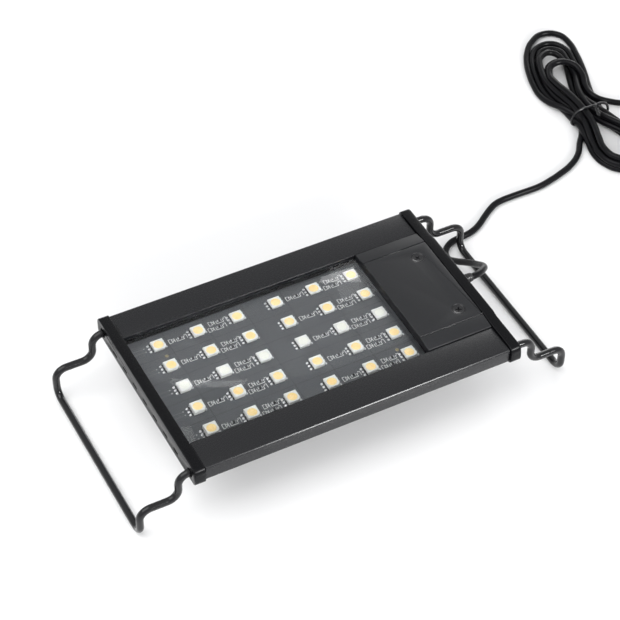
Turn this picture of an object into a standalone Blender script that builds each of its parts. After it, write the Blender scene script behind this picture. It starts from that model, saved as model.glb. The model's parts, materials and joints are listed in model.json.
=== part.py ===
"""LED aquarium light: a flat lamp body that stands on two sliding wire brackets.

Metres, +Z up. The origin is on the surface the brackets stand on, midway between their
crossbars. +X runs from the LED end to the driver end, where the cord leaves.
"""
import math

import bmesh
import bpy
from mathutils import Vector

MM = 0.001
GAP = 0.3 * MM  # between pieces that touch

# Lamp body, an extrusion with a hollow rail along each side.
BODY_LEFT, BODY_RIGHT = -65.7 * MM, 63.0 * MM
RAIL_OUT, RAIL_IN = 43.05 * MM, 29.5 * MM
RAIL_TOP, BACK_TOP, BACK_BOTTOM = 29.25 * MM, 22.8 * MM, 21.6 * MM
EDGE = 0.6 * MM
HOLLOW_IN, HOLLOW_OUT = 31.3 * MM, 41.3 * MM
HOLLOW_LOW, HOLLOW_TOP = 23.4 * MM, 27.6 * MM
GROOVE_DEPTH = 0.6 * MM

# End caps.
CAP_THICK, CAP_HALF, CAP_CORNER = 4.4 * MM, 44.0 * MM, 2.4 * MM
CAP_LOW, CAP_TOP, CAP_RAISED_TOP = 21.7 * MM, 30.05 * MM, 30.75 * MM
LEG_HOLE_RADIUS = 1.95 * MM
SLOT_COUNT, SLOT_PITCH, SLOT_LONG, SLOT_TALL = 7, 9.06 * MM, 3.4 * MM, 1.0 * MM
SLOT_LEVEL, SLOT_DEPTH = 24.6 * MM, 1.6 * MM
SPIGOT_LONG = 5.0 * MM

# LED board and its LEDs, in five rows of six.
BOARD_LOW, BOARD_TOP = 23.1 * MM, 24.4 * MM
BOARD_HALF, BOARD_LEFT, BOARD_RIGHT = 29.2 * MM, -65.4 * MM, 36.6 * MM
LED_SIDE, LED_TALL, LED_DISH_RADIUS, LED_DISH_DEEP = 5.0 * MM, 1.3 * MM, 1.9 * MM, 0.3 * MM
LED_ROWS, LED_COLUMNS = 5, 6
LED_PITCH_X, LED_PITCH_Y, LED_CENTRE_X = 16.7 * MM, 11.58 * MM, -12.0 * MM
WHITE_ROW = 3

# Clear cover, whose edges lie in grooves in the rails.
CLEAR_LOW, CLEAR_TOP, CLEAR_HALF, CLEAR_RIGHT = 26.4 * MM, 27.6 * MM, 29.8 * MM, 34.7 * MM

# Driver cover: a lid with sloped flanks and one end wall.
LID_LEFT, LID_TOP, LID_EDGE_TOP, LID_LOW = 35.0 * MM, 30.65 * MM, 29.65 * MM, 24.7 * MM
LID_HALF, LID_FLAT_HALF, LID_WALL = 29.2 * MM, 22.5 * MM, 1.2 * MM
SCREW_X, SCREW_Y, SCREW_HEAD_RADIUS, SCREW_RADIUS = 56.0 * MM, 16.0 * MM, 2.7 * MM, 1.3 * MM
SCREW_HEAD_DEEP = 1.3 * MM

# Wire brackets.
WIRE_RADIUS, WIRE_BEND = 1.5 * MM, 4.5 * MM
LEG_Y, LEG_Z, ARM_Z = 39.1 * MM, 25.35 * MM, 13.9 * MM
CROSSBAR_X = 91.0 * MM
LEFT_STEP_X, RIGHT_STEP_X = -75.1 * MM, 75.7 * MM
LEFT_LEG_END, RIGHT_LEG_END = -5.0 * MM, 2.0 * MM

# Supply cord.
CORD_RADIUS = 1.4 * MM
CORD_EXIT = (67.7 * MM, 1.5 * MM, 25.0 * MM)
RELIEF_LONG, RELIEF_ROOT_RADIUS, RELIEF_TIP_RADIUS = 5.0 * MM, 2.1 * MM, 1.8 * MM
HANK_TALL, TIE_RADIUS = 8.4 * MM, 0.5 * MM


def clear_scene():
    """Remove the scene's objects and leave collections for the parts and the cutters."""
    for obj in list(bpy.data.objects):
        bpy.data.objects.remove(obj, do_unlink=True)
    made = {}
    for name in ("led_aquarium_light", "cutters"):
        made[name] = bpy.data.collections.new(name)
        bpy.context.scene.collection.children.link(made[name])
    return made["led_aquarium_light"], made["cutters"]


PARTS, CUTTERS = clear_scene()


def material(name, colour, roughness, metallic=0.0):
    """A Principled material."""
    made = bpy.data.materials.new(name)
    made.use_nodes = True
    shader = made.node_tree.nodes["Principled BSDF"]
    shader.inputs["Base Color"].default_value = (*colour, 1.0)
    shader.inputs["Roughness"].default_value = roughness
    shader.inputs["Metallic"].default_value = metallic
    return made


ANODISED = material("anodised_aluminium", (0.042, 0.043, 0.046), 0.42, 0.6)
BLACK_PLASTIC = material("black_plastic", (0.022, 0.022, 0.024), 0.38)
LID_PAINT = material("painted_lid", (0.040, 0.042, 0.044), 0.5, 0.2)
BOARD_MASK = material("board_solder_mask", (0.13, 0.14, 0.15), 0.45)
DRIVER_MASK = material("driver_solder_mask", (0.02, 0.12, 0.05), 0.4)
LED_WARM = material("led_warm", (0.95, 0.78, 0.42), 0.4)
LED_COOL = material("led_cool", (0.9, 0.9, 0.87), 0.4)
CLEAR_ACRYLIC = material("clear_acrylic", (0.9, 0.92, 0.93), 0.05)
BLACK_STEEL = material("black_screw", (0.02, 0.02, 0.02), 0.35, 0.9)
WIRE_PAINT = material("painted_wire", (0.012, 0.012, 0.013), 0.3, 0.3)
BLACK_PVC = material("cord_sheath", (0.014, 0.014, 0.015), 0.5)
NICKEL = material("nickel_plate", (0.7, 0.69, 0.66), 0.25, 1.0)
RED_PVC = material("red_insulation", (0.55, 0.02, 0.02), 0.4)
FERRITE = material("ferrite", (0.05, 0.05, 0.055), 0.6)


def object_of(name, data, finish=None, collection=PARTS):
    """Link a new object that holds this mesh or curve."""
    made = bpy.data.objects.new(name, data)
    collection.objects.link(made)
    if finish:
        data.materials.append(finish)
    if collection is CUTTERS:
        made.hide_render = True
        made.display_type = "WIRE"
    return made


def add_spline(curve, points, cyclic):
    """A poly spline through these points, which have 2 or 3 coordinates."""
    spline = curve.splines.new("POLY")
    spline.points.add(len(points) - 1)
    for knot, point in zip(spline.points, points):
        knot.co = (*point, 0.0, 1.0) if len(point) == 2 else (*point, 1.0)
    spline.use_cyclic_u = cyclic


def outline(name, loops, low, high, along="X", finish=None, collection=PARTS):
    """A flat outline, with holes where loops nest, filled and extruded from low to high.

    Along X the outline's points are (y, z); along Z they are (x, y).
    """
    curve = bpy.data.curves.new(name, "CURVE")
    curve.dimensions = "2D"
    curve.fill_mode = "BOTH"
    curve.extrude = (high - low) / 2
    for loop in loops:
        add_spline(curve, loop, True)
    made = object_of(name, curve, finish, collection)
    middle = (low + high) / 2
    if along == "X":
        made.rotation_euler = (math.pi / 2, 0, math.pi / 2)
        made.location = (middle, 0, 0)
    else:
        made.location = (0, 0, middle)
    return made


def to_mesh(obj):
    """Replace a curve object by the mesh that it makes, with its caps welded."""
    bpy.context.view_layer.update()
    evaluated = obj.evaluated_get(bpy.context.evaluated_depsgraph_get())
    mesh = bpy.data.meshes.new_from_object(evaluated)
    welded = bmesh.new()
    welded.from_mesh(mesh)
    bmesh.ops.remove_doubles(welded, verts=welded.verts, dist=1e-6)
    bmesh.ops.recalc_face_normals(welded, faces=welded.faces)
    welded.to_mesh(mesh)
    welded.free()
    name, matrix, collection = obj.name, obj.matrix_world.copy(), obj.users_collection[0]
    bpy.data.objects.remove(obj, do_unlink=True)
    made = object_of(name, mesh, None, collection)
    made.matrix_world = matrix
    return made


def wire(name, points, radius, finish, tilt=0.0):
    """A round tube with filled caps through these points."""
    curve = bpy.data.curves.new(name, "CURVE")
    curve.dimensions = "3D"
    curve.bevel_depth = radius
    curve.bevel_resolution = 2
    curve.use_fill_caps = True
    add_spline(curve, points, False)
    for knot in curve.splines[0].points:
        knot.tilt = tilt
    return object_of(name, curve, finish)


def mesh_object(name, build, finish=None, collection=PARTS):
    """An object whose mesh the function build fills."""
    shape = bmesh.new()
    build(shape)
    mesh = bpy.data.meshes.new(name)
    shape.to_mesh(mesh)
    shape.free()
    return object_of(name, mesh, finish, collection)


def box(name, low, high, finish=None, collection=PARTS):
    """A box between two corners."""
    low, high = Vector(low), Vector(high)

    def build(shape):
        bmesh.ops.create_cube(shape, size=1.0)
        bmesh.ops.scale(shape, vec=high - low, verts=shape.verts)
        bmesh.ops.translate(shape, vec=(low + high) / 2, verts=shape.verts)

    return mesh_object(name, build, finish, collection)


def rod(name, centre, radius, length, axis="Z", sides=16, tip=None, finish=None, collection=PARTS):
    """A cylinder about centre, or a cone when its far end's radius, tip, differs."""

    def build(shape):
        bmesh.ops.create_cone(
            shape, cap_ends=True, segments=sides, depth=length,
            radius1=radius, radius2=radius if tip is None else tip,
        )

    made = mesh_object(name, build, finish, collection)
    made.location = centre
    if axis == "X":
        made.rotation_euler = (0, math.pi / 2, 0)
    made.data.shade_smooth()
    made.data.set_sharp_from_angle(angle=math.radians(40))
    return made


def boolean(obj, other, operation="DIFFERENCE"):
    """Cut or join other, a mesh in the cutters' collection."""
    modifier = obj.modifiers.new(f"{operation.lower()}_{other.name}", "BOOLEAN")
    modifier.operation = operation
    modifier.solver = "EXACT"
    modifier.object = other


def rounded(corners, radius, steps, cyclic=False):
    """The path through corners with each turn made an arc of this radius."""
    corners = [Vector(corner) for corner in corners]
    path = [] if cyclic else [corners[0]]
    count = len(corners)
    for index in range(0 if cyclic else 1, count if cyclic else count - 1):
        corner = corners[index]
        back = (corners[index - 1] - corner).normalized()
        ahead = (corners[(index + 1) % count] - corner).normalized()
        half = back.angle(ahead) / 2
        centre = corner + (back + ahead).normalized() * (radius / math.sin(half))
        start = corner + back * (radius / math.tan(half))
        end = corner + ahead * (radius / math.tan(half))
        for step in range(steps + 1):
            spoke = (start - centre).slerp(end - centre, step / steps).normalized()
            path.append(centre + radius * spoke)
    return path if cyclic else path + [corners[-1]]


def smooth_route(points, spacing):
    """Points a spacing apart on a smooth curve through a route's own points."""
    points = [Vector(point) for point in points]
    padded = [2 * points[0] - points[1], *points, 2 * points[-1] - points[-2]]
    dense = []
    for index in range(1, len(padded) - 2):
        before, start, end, after = padded[index - 1:index + 3]
        for step in range(20):
            t = step / 20
            dense.append(0.5 * (
                2 * start + (end - before) * t
                + (2 * before - 5 * start + 4 * end - after) * t ** 2
                + (3 * start - before - 3 * end + after) * t ** 3
            ))
    dense.append(points[-1])
    steps = max(1, round(sum((b - a).length for a, b in zip(dense, dense[1:])) / spacing))
    total = sum((b - a).length for a, b in zip(dense, dense[1:]))
    route, travelled = [dense[0]], 0.0
    for start, end in zip(dense, dense[1:]):
        travelled += (end - start).length
        if travelled >= len(route) * total / steps and len(route) < steps:
            route.append(end)
    return route + [dense[-1]]


def make_housing():
    """The extrusion: back plate, two hollow rails, grooves for the clear cover."""
    low, top = CLEAR_LOW - GAP, CLEAR_TOP + GAP
    groove = RAIL_IN + GROOVE_DEPTH
    half = [
        (30.0 * MM, BACK_BOTTOM), (39.5 * MM, BACK_BOTTOM + 0.5 * MM),
        (RAIL_OUT - EDGE, BACK_BOTTOM + 1.1 * MM), (RAIL_OUT, BACK_BOTTOM + 1.6 * MM),
        (RAIL_OUT, RAIL_TOP - EDGE), (RAIL_OUT - EDGE, RAIL_TOP), (RAIL_IN, RAIL_TOP),
        (RAIL_IN, top), (groove, top), (groove, low), (RAIL_IN, low), (RAIL_IN, BACK_TOP),
    ]
    section = half + [(-y, z) for y, z in reversed(half)]
    hollows = [
        [(side * y, z) for y, z in (
            (HOLLOW_IN, HOLLOW_LOW), (HOLLOW_OUT, HOLLOW_LOW),
            (HOLLOW_OUT, HOLLOW_TOP), (HOLLOW_IN, HOLLOW_TOP),
        )] for side in (1, -1)
    ]
    housing = to_mesh(
        outline("housing_extrusion", [section, *hollows], BODY_LEFT, BODY_RIGHT, finish=ANODISED)
    )
    for side, name in ((-1, "near"), (1, "far")):
        hole = rod(
            f"back_hole_{name}", (SCREW_X, side * SCREW_Y, BACK_BOTTOM), SCREW_RADIUS + GAP,
            8 * MM, collection=CUTTERS,
        )
        boolean(housing, hole)


def cap_section(middle_top):
    """The end cap's outline, with its middle raised to middle_top when that isn't None."""
    top = [(CAP_HALF, CAP_TOP), (-CAP_HALF, CAP_TOP)]
    corners = [(-CAP_HALF, CAP_LOW), (CAP_HALF, CAP_LOW), *top]
    section = [
        (point.x, point.y)
        for point in rounded([Vector((y, z, 0)) for y, z in corners], CAP_CORNER, 4, cyclic=True)
    ]
    if middle_top is not None:
        last_right = max(i for i, (y, z) in enumerate(section) if y > 0)
        flank = LID_FLAT_HALF + 3.0 * MM
        raised = [
            (flank, CAP_TOP), (LID_FLAT_HALF, middle_top),
            (-LID_FLAT_HALF, middle_top), (-flank, CAP_TOP),
        ]
        section[last_right + 1:last_right + 1] = raised
    return section


def make_cap(name, inner, outer, middle_top=None):
    """An end cap between two planes, with a spigot in each rail and a hole for each leg."""
    low, high = min(inner, outer), max(inner, outer)
    cap = to_mesh(outline(name, [cap_section(middle_top)], low, high, finish=BLACK_PLASTIC))
    into = 1 if inner > outer else -1
    for side, rail in ((-1, "near"), (1, "far")):
        root, tip = inner - into * MM, inner + into * (SPIGOT_LONG + GAP)
        spigot = box(
            f"{name}_spigot_{rail}",
            (min(root, tip), min(side * 31.7 * MM, side * 36.6 * MM), HOLLOW_LOW + GAP),
            (max(root, tip), max(side * 31.7 * MM, side * 36.6 * MM), HOLLOW_TOP - GAP),
            collection=CUTTERS,
        )
        boolean(cap, spigot, "UNION")
        hole = rod(
            f"{name}_leg_hole_{rail}", ((low + high) / 2, side * LEG_Y, LEG_Z), LEG_HOLE_RADIUS,
            20 * MM, axis="X", collection=CUTTERS,
        )
        boolean(cap, hole)
    return cap


def make_caps():
    """Both end caps: slots in the left one, the cord's hole in the right one."""
    left_outer, right_outer = BODY_LEFT - GAP - CAP_THICK, BODY_RIGHT + GAP + CAP_THICK
    left = make_cap("end_cap_left", BODY_LEFT - GAP, left_outer)
    for number in range(SLOT_COUNT):
        y = (number - (SLOT_COUNT - 1) / 2) * SLOT_PITCH
        slot = box(
            f"slot_{number + 1}",
            (left_outer - MM, y - SLOT_LONG / 2, SLOT_LEVEL - SLOT_TALL / 2),
            (left_outer + SLOT_DEPTH, y + SLOT_LONG / 2, SLOT_LEVEL + SLOT_TALL / 2),
            collection=CUTTERS,
        )
        boolean(left, slot)
    right = make_cap("end_cap_right", BODY_RIGHT + GAP, right_outer, CAP_RAISED_TOP)
    hole = rod(
        "cord_hole", (BODY_RIGHT, CORD_EXIT[1], CORD_EXIT[2]), RELIEF_ROOT_RADIUS + GAP,
        20 * MM, axis="X", collection=CUTTERS,
    )
    boolean(right, hole)


def make_leds():
    """The LED board and the LEDs on it."""
    box(
        "led_board", (BOARD_LEFT, -BOARD_HALF, BOARD_LOW), (BOARD_RIGHT, BOARD_HALF, BOARD_TOP),
        BOARD_MASK,
    )
    half = LED_SIDE / 2
    pattern = box("led_pattern", (-half, -half, 0), (half, half, LED_TALL), collection=CUTTERS)
    dish = rod(
        "led_dish", (0, 0, LED_TALL), LED_DISH_RADIUS, 2 * LED_DISH_DEEP, sides=12,
        collection=CUTTERS,
    )
    boolean(pattern, dish)
    bpy.context.view_layer.update()
    graph = bpy.context.evaluated_depsgraph_get()
    meshes = {}
    for finish in (LED_WARM, LED_COOL):
        mesh = bpy.data.meshes.new_from_object(pattern.evaluated_get(graph))
        mesh.materials.clear()
        mesh.materials.append(finish)
        meshes[finish] = mesh
    for row in range(LED_ROWS):
        for column in range(LED_COLUMNS):
            finish = LED_COOL if row + 1 == WHITE_ROW else LED_WARM
            led = object_of(f"led_{row + 1}_{column + 1}", meshes[finish])
            led.location = (
                LED_CENTRE_X + (column - (LED_COLUMNS - 1) / 2) * LED_PITCH_X,
                ((LED_ROWS - 1) / 2 - row) * LED_PITCH_Y,
                BOARD_TOP + GAP,
            )


def make_clear_cover():
    """The clear plate in the rails' grooves."""
    box(
        "clear_cover", (BOARD_LEFT, -CLEAR_HALF, CLEAR_LOW), (CLEAR_RIGHT, CLEAR_HALF, CLEAR_TOP),
        CLEAR_ACRYLIC,
    )


def make_driver_cover():
    """The lid over the driver, open below and towards the right end cap, and its screws."""

    def section(inset, low):
        half, flat = LID_HALF - inset, LID_FLAT_HALF - inset / 2
        return [
            (half, low), (half, LID_EDGE_TOP - inset), (flat, LID_TOP - inset),
            (-flat, LID_TOP - inset), (-half, LID_EDGE_TOP - inset), (-half, low),
        ]

    lid = to_mesh(
        outline("driver_cover", [section(0, LID_LOW)], LID_LEFT, BODY_RIGHT, finish=LID_PAINT)
    )
    inside = to_mesh(outline(
        "driver_space", [section(LID_WALL, LID_LOW - MM)], LID_LEFT + LID_WALL, BODY_RIGHT + MM,
        collection=CUTTERS,
    ))
    boolean(lid, inside)
    for side, name in ((-1, "near"), (1, "far")):
        y = side * SCREW_Y
        top = LID_TOP - SCREW_HEAD_DEEP / 2
        seat = rod(
            f"screw_seat_{name}", (SCREW_X, y, top), SCREW_RADIUS + GAP, SCREW_HEAD_DEEP + 0.2 * MM,
            tip=SCREW_HEAD_RADIUS + GAP, collection=CUTTERS,
        )
        boolean(lid, seat)
        hole = rod(
            f"screw_hole_{name}", (SCREW_X, y, LID_TOP - 3 * MM), SCREW_RADIUS + GAP, 5 * MM,
            collection=CUTTERS,
        )
        boolean(lid, hole)
        make_screw(f"cover_screw_{name}", y)


def make_screw(name, y):
    """A countersunk cross-head screw, turned about its axis, down into the back plate."""
    top, tip = LID_TOP - 0.1 * MM, BACK_BOTTOM + 0.2 * MM
    profile = [
        (0, top), (SCREW_HEAD_RADIUS, top), (SCREW_RADIUS, top - SCREW_HEAD_DEEP),
        (SCREW_RADIUS, tip), (0, tip),
    ]
    mesh = bpy.data.meshes.new(name)
    mesh.from_pydata([(x, 0, z) for x, z in profile], [(i, i + 1) for i in range(4)], [])
    screw = object_of(name, mesh, BLACK_STEEL)
    screw.location = (SCREW_X, y, 0)
    turned = screw.modifiers.new("turned", "SCREW")
    turned.steps = turned.render_steps = 16
    turned.use_merge_vertices = True
    turned.merge_threshold = 0.00001
    turned.use_smooth_shade = False
    for number, (long, wide) in enumerate(((2.8 * MM, 0.7 * MM), (0.7 * MM, 2.8 * MM))):
        slot = box(
            f"{name}_recess_{number + 1}",
            (SCREW_X - long / 2, y - wide / 2, top - 0.9 * MM),
            (SCREW_X + long / 2, y + wide / 2, top + MM),
            collection=CUTTERS,
        )
        boolean(screw, slot)


def make_driver():
    """The driver board and its parts, between the two screws."""
    low, top = BOARD_LOW, BOARD_LOW + 1.2 * MM
    box("driver_board", (38.0 * MM, -12.5 * MM, low), (62.0 * MM, 12.5 * MM, top), DRIVER_MASK)
    box("driver_chip", (41 * MM, -4 * MM, top + GAP), (46 * MM, 0, top + 1.8 * MM), BLACK_PLASTIC)
    rod("inductor", (51 * MM, -5 * MM, top + GAP + 1.5 * MM), 3 * MM, 3 * MM, finish=FERRITE)
    rod(
        "capacitor", (50 * MM, 6 * MM, top + GAP + 2 * MM), 2 * MM, 6 * MM, axis="X", finish=NICKEL
    )
    for name, offset, finish in (
        ("supply_wire_positive", 0.75 * MM, RED_PVC), ("supply_wire_negative", -0.75 * MM, BLACK_PVC),
    ):
        y = CORD_EXIT[1] + offset
        route = [
            (56 * MM, 2.5 * y, top + GAP + 0.5 * MM), (58.5 * MM, 1.8 * y, top + 0.9 * MM),
            (61 * MM, y, CORD_EXIT[2]), (64.6 * MM, y, CORD_EXIT[2]),
        ]
        wire(name, smooth_route(route, 1.5 * MM), 0.5 * MM, finish)


def make_bracket(name, side, step_x, leg_end):
    """A wire bracket: legs in the rails, a step down to the arms, a step down to the crossbar."""
    across = side * CROSSBAR_X
    half = [
        (leg_end, -LEG_Y, LEG_Z), (step_x, -LEG_Y, LEG_Z), (step_x, -LEG_Y, ARM_Z),
        (across, -LEG_Y, ARM_Z), (across, -LEG_Y, WIRE_RADIUS),
    ]
    corners = half + [(x, -y, z) for x, y, z in reversed(half)]
    depth = WIRE_RADIUS / math.cos(math.pi / 8)
    wire(name, rounded(corners, WIRE_BEND, 5), depth, WIRE_PAINT, tilt=math.pi / 8)


def make_brackets():
    """Both brackets. Each slides along X in the rails' hollows."""
    make_bracket("left_bracket", -1, LEFT_STEP_X, LEFT_LEG_END)
    make_bracket("right_bracket", 1, RIGHT_STEP_X, RIGHT_LEG_END)


# The lead's route from the strain relief to the tie, in millimetres.
LEAD_ROUTE = [
    (73.2, 1.5, 25.0), (76.5, 2.4, 24.4), (80.0, 4.7, 22.7), (83.3, 8.6, 19.7), (85.0, 15.5, 14.2),
    (84.4, 22.8, 9.2), (83.0, 29.5, 4.8), (82.8, 34.6, 2.0), (84.6, 39.3, 1.4), (88.8, 42.6, 1.4),
    (93.5, 43.6, 1.4), (98.0, 44.0, 1.4), (102.2, 45.2, 1.4), (106.1, 47.3, 1.4), (110.4, 50.3, 1.4),
    (114.6, 53.0, 1.4), (118.3, 54.8, 1.4), (121.8, 55.5, 1.4), (126.3, 55.7, 1.4),
    (131.3, 55.7, 1.4), (136.3, 55.6, 1.4), (141.6, 55.8, 1.4), (147.4, 56.9, 1.4),
    (153.5, 58.5, 1.4), (160.3, 61.0, 1.4), (164.8, 63.4, 1.4), (169.6, 67.2, 1.4),
    (172.0, 70.1, 1.4),
]
# The tail's route from the hank to the connector, in millimetres.
TAIL_ROUTE = [
    (196.2, 88.3, 2.2), (200.0, 87.4, 1.6), (205.0, 85.2, 1.5), (209.5, 80.5, 1.6),
    (211.2, 74.8, 2.8), (211.5, 69.6, 4.5),
]


def in_metres(route):
    """A route's points, given in millimetres, as vectors in metres."""
    return [Vector(point) * MM for point in route]


def make_cord():
    """The strain relief, the lead, the hank with its tie, the tail and the connector."""
    exit_x, exit_y, exit_z = CORD_EXIT
    relief_left = BODY_RIGHT + 1.6 * MM
    relief_right = exit_x + RELIEF_LONG
    rod(
        "strain_relief", ((relief_left + relief_right) / 2, exit_y, exit_z), RELIEF_ROOT_RADIUS,
        relief_right - relief_left, axis="X", tip=RELIEF_TIP_RADIUS, finish=BLACK_PVC,
    )
    wire("cord_lead", smooth_route(in_metres(LEAD_ROUTE), 3.0 * MM), CORD_RADIUS, BLACK_PVC)
    make_hank()
    wire("cord_tail", smooth_route(in_metres(TAIL_ROUTE), 3.0 * MM), CORD_RADIUS, BLACK_PVC)
    make_connector()


def make_hank():
    """The bundled cord: a bow-tie outline, grooved below where the tie passes under it."""
    left = [
        (176.6, 83.0), (173.8, 93.0), (171.6, 103.0), (173.0, 114.0), (177.4, 125.0),
        (181.5, 133.0), (188.0, 139.8), (196.0, 142.4),
    ]
    right = [
        (202.6, 138.0), (204.0, 129.0), (201.2, 116.0), (197.0, 105.0), (194.2, 95.0),
        (193.2, 87.0), (194.2, 78.0), (195.8, 68.0), (196.2, 58.0), (194.0, 49.0),
        (188.0, 43.4), (180.0, 42.2), (173.6, 45.6), (170.6, 52.0), (170.8, 60.0),
        (174.4, 68.0), (176.2, 75.8),
    ]
    section = [(x * MM, y * MM) for x, y in reversed(left + right)]
    hank = to_mesh(outline("cord_hank", [section], 0.0, HANK_TALL, along="Z", finish=BLACK_PVC))
    boolean(hank, box(
        "tie_groove", (160 * MM, 82.3 * MM, -MM), (205 * MM, 84.7 * MM, 1.5 * MM),
        collection=CUTTERS,
    ))


def make_tie():
    """The wire tie round the hank's waist, a closed loop with its ends twisted on top."""
    left, right = 175.3 * MM, 194.6 * MM
    low, high = TIE_RADIUS, HANK_TALL + TIE_RADIUS + GAP
    y = 83.5 * MM
    loop = rounded(
        [(left, y, low), (right, y, low), (right, y, high), (left, y, high)], 1.5 * MM, 3, cyclic=True
    )
    curve = bpy.data.curves.new("cord_tie", "CURVE")
    curve.dimensions = "3D"
    curve.bevel_depth = TIE_RADIUS
    curve.bevel_resolution = 1
    add_spline(curve, loop, True)
    object_of("cord_tie", curve, BLACK_PVC)


def make_connector():
    """The moulded connector on the tail's end, lying along Y, and its metal barrel."""
    x, z = 211.5 * MM, 4.6 * MM
    end_y = 69.2 * MM
    profile = [
        (0, 0), (2.2, 0), (2.6, 9.0), (4.4, 12.0), (4.5, 29.0), (3.9, 30.0), (0, 30.0),
    ]
    body = bpy.data.meshes.new("connector_body")
    body.from_pydata(
        [(r * MM, 0, -along * MM) for r, along in profile], [(i, i + 1) for i in range(6)], []
    )
    moulded = object_of("connector_body", body, BLACK_PVC)
    moulded.location = (x, end_y, z)
    moulded.rotation_euler = (-math.pi / 2, 0, 0)
    turned = moulded.modifiers.new("turned", "SCREW")
    turned.steps = turned.render_steps = 12
    turned.use_merge_vertices = True
    turned.merge_threshold = 0.00001
    barrel = rod(
        "connector_barrel", (x, end_y - 30 * MM - GAP - 4.75 * MM, z), 2.75 * MM, 9.5 * MM,
        sides=12, finish=NICKEL,
    )
    barrel.rotation_euler = (math.pi / 2, 0, 0)


def main():
    """Build every piece."""
    make_housing()
    make_caps()
    make_leds()
    make_clear_cover()
    make_driver_cover()
    make_driver()
    make_brackets()
    make_cord()
    make_tie()


main()
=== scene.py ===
"""Looks of a slim aquarium light: a lamp with a board of LEDs, two sliding wire brackets and a tied cord."""

import json
import logging
import math
from collections.abc import Callable, Iterable, Sequence
from dataclasses import dataclass, field
from enum import Enum

import bpy
from mathutils import Matrix, Vector

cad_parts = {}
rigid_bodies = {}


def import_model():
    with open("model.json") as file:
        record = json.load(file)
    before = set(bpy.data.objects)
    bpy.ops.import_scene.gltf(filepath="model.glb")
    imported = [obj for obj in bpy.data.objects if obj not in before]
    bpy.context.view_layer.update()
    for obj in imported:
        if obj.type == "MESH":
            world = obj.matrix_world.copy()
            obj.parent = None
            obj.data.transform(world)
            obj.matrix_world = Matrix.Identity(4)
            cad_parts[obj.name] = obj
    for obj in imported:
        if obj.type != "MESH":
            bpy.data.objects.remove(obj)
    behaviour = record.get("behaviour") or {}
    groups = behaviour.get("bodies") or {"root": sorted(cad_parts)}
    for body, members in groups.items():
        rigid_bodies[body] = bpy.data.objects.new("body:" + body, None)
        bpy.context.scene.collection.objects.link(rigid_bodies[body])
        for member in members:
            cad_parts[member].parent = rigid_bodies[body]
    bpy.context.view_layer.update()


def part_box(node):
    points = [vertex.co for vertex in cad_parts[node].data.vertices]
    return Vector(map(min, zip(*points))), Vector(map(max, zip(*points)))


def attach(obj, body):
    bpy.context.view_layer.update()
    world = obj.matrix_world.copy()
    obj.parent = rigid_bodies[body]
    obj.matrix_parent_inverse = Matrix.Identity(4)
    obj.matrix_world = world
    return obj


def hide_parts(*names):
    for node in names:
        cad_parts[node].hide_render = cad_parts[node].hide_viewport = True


MM = 0.001
LOG = logging.getLogger("aquarium_light")
NEAR = 0.01 * MM
LED_PITCH = (16.7 * MM, 11.58 * MM)
Colour = tuple[float, float, float]
Point = tuple[float, float, float]
DUST_COLOUR: Colour = (0.42, 0.42, 0.41)


class Side(Enum):
    """The two ends of the lamp, by the sign of X."""

    LEFT = -1
    RIGHT = 1


class LedColour(Enum):
    """The record's material slot of an LED."""

    WARM = "led_warm"
    COOL = "led_cool"


# ---------------------------------------------------------------- selection and mesh tools


def deselect() -> None:
    """Leaves nothing selected and no object active."""
    for item in bpy.context.view_layer.objects:
        item.select_set(False)
    bpy.context.view_layer.objects.active = None


def activate(obj: bpy.types.Object) -> bpy.types.Object:
    """Selects one object alone and makes it active.

    Args:
        obj: the object to work on.

    Returns:
        The same object.
    """
    deselect()
    obj.select_set(True)
    bpy.context.view_layer.objects.active = obj
    return obj


def settle(obj: bpy.types.Object) -> bpy.types.Object:
    """Moves an object's place, turn and scale into its mesh.

    Args:
        obj: a mesh object.

    Returns:
        The same object, at the origin.
    """
    activate(obj)
    bpy.ops.object.transform_apply(location=True, rotation=True, scale=True)
    return obj


def block(name: str, low: Sequence[float], high: Sequence[float]) -> bpy.types.Object:
    """Adds a block between two corners, in metres.

    Args:
        name: the new object's name.
        low: its lowest corner.
        high: its highest corner.

    Returns:
        The block, with its place in its mesh.
    """
    deselect()
    a, b = Vector(low), Vector(high)
    bpy.ops.mesh.primitive_cube_add(size=1, location=(a + b) / 2, scale=b - a)
    made = settle(bpy.context.active_object)
    made.name = made.data.name = name
    return made


def pick_faces(obj: bpy.types.Object, test: Callable[[bpy.types.MeshPolygon], bool]) -> None:
    """Enters edit mode on an object with only some of its faces selected.

    Args:
        obj: a mesh object.
        test: says whether a face is wanted.
    """
    activate(obj)
    bpy.ops.object.mode_set(mode="EDIT")
    bpy.ops.mesh.select_mode(type="FACE")
    bpy.ops.mesh.select_all(action="DESELECT")
    bpy.ops.object.mode_set(mode="OBJECT")
    for face in obj.data.polygons:
        face.select = test(face)
    bpy.ops.object.mode_set(mode="EDIT")


def pick_edges(obj: bpy.types.Object, test: Callable[[Vector, Vector], bool]) -> int:
    """Enters edit mode on an object with only some of its edges selected.

    Args:
        obj: a mesh object.
        test: says whether an edge is wanted, from its two end points.

    Returns:
        The number of edges selected.
    """
    activate(obj)
    bpy.ops.object.mode_set(mode="EDIT")
    bpy.ops.mesh.select_mode(type="EDGE")
    bpy.ops.mesh.select_all(action="DESELECT")
    bpy.ops.object.mode_set(mode="OBJECT")
    points = obj.data.vertices
    found = 0
    for edge in obj.data.edges:
        edge.select = test(points[edge.vertices[0]].co, points[edge.vertices[1]].co)
        found += edge.select
    bpy.ops.object.mode_set(mode="EDIT")
    return found


def leave_edit() -> None:
    """Goes back to object mode."""
    bpy.ops.object.mode_set(mode="OBJECT")


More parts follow.
